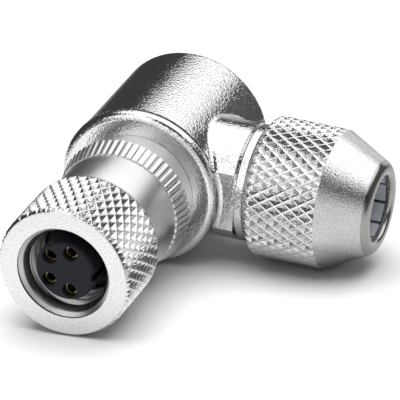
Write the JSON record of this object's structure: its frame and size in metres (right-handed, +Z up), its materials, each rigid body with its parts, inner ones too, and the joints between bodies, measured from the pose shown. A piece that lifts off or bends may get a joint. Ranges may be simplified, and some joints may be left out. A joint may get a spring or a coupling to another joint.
{
  "type": "circular sensor connector",
  "caption": "Right-angle screw-coupled circular sensor connector with socket contacts, knurled coupling nut, grip collar, cast angle housing and knurled cable gland.",
  "frame": {"origin": "centre of the coupling nut's front face, the mating plane", "axes": "-Y points out of the mating face along the coupling axis, +X points out of the cable gland, +Z is up as the connector lies on a table"},
  "size_m": [0.0273, 0.0291, 0.0142],
  "materials": {
    "cast_nickel": "nickel-plated, grainy cast",
    "turned_nickel": "nickel-plated, satin turned",
    "knurled_nickel": "nickel-plated, bright knurled",
    "keeper_steel": "plain",
    "carrier_plastic": "matte black",
    "gold_contact": "gold-plated",
    "black_rubber": "matte",
    "grey_rubber": "matte",
    "liner_plastic": "natural",
    "ring_plastic": "matte",
    "cage_plastic": "grey"
  },
  "bodies": {
    "housing": {"angle_housing": "cast_nickel", "insulating_liner": "liner_plastic", "cable_seal": "grey_rubber"},
    "insert_unit": {"insert_sleeve": "turned_nickel", "nut_keeper_ring": "keeper_steel", "contact_carrier": "carrier_plastic", "socket_contact_1": "gold_contact", "socket_contact_2": "gold_contact", "socket_contact_3": "gold_contact", "socket_contact_4": "gold_contact", "face_seal": "black_rubber"},
    "collar": {"screw_collar": "turned_nickel", "collar_seal": "black_rubber"},
    "nut": {"coupling_nut": "knurled_nickel"},
    "clamp_unit": {"thrust_ring": "ring_plastic", "clamp_cage": "cage_plastic"},
    "gland": {"gland_nut": "knurled_nickel"}
  },
  "joints": [
    {"name": "insert_draw", "type": "slide", "parent": "housing", "child": "insert_unit", "axis": [0, -1, 0], "range_m": [0, 0.00225]},
    {"name": "collar_turn", "type": "hinge", "parent": "insert_unit", "child": "collar", "pos_m": [0, 0.013, 0], "axis": [0, -1, 0], "range_deg": [0, 1080.01]},
    {"name": "nut_spin", "type": "hinge", "parent": "insert_unit", "child": "nut", "pos_m": [0, 0.003, 0], "axis": [0, -1, 0], "continuous": true},
    {"name": "clamp_draw", "type": "slide", "parent": "housing", "child": "clamp_unit", "axis": [1, 0, 0], "range_m": [0, 0.003]},
    {"name": "gland_turn", "type": "hinge", "parent": "clamp_unit", "child": "gland", "pos_m": [0.013, 0.0213, 0], "axis": [1, 0, 0], "range_deg": [0, 1440.01]}
  ],
  "couplings": [
    {"joint": "collar_turn", "follows": "insert_draw", "rad_per_m": 8377.6},
    {"joint": "gland_turn", "follows": "clamp_draw", "rad_per_m": 8377.6}
  ]
}
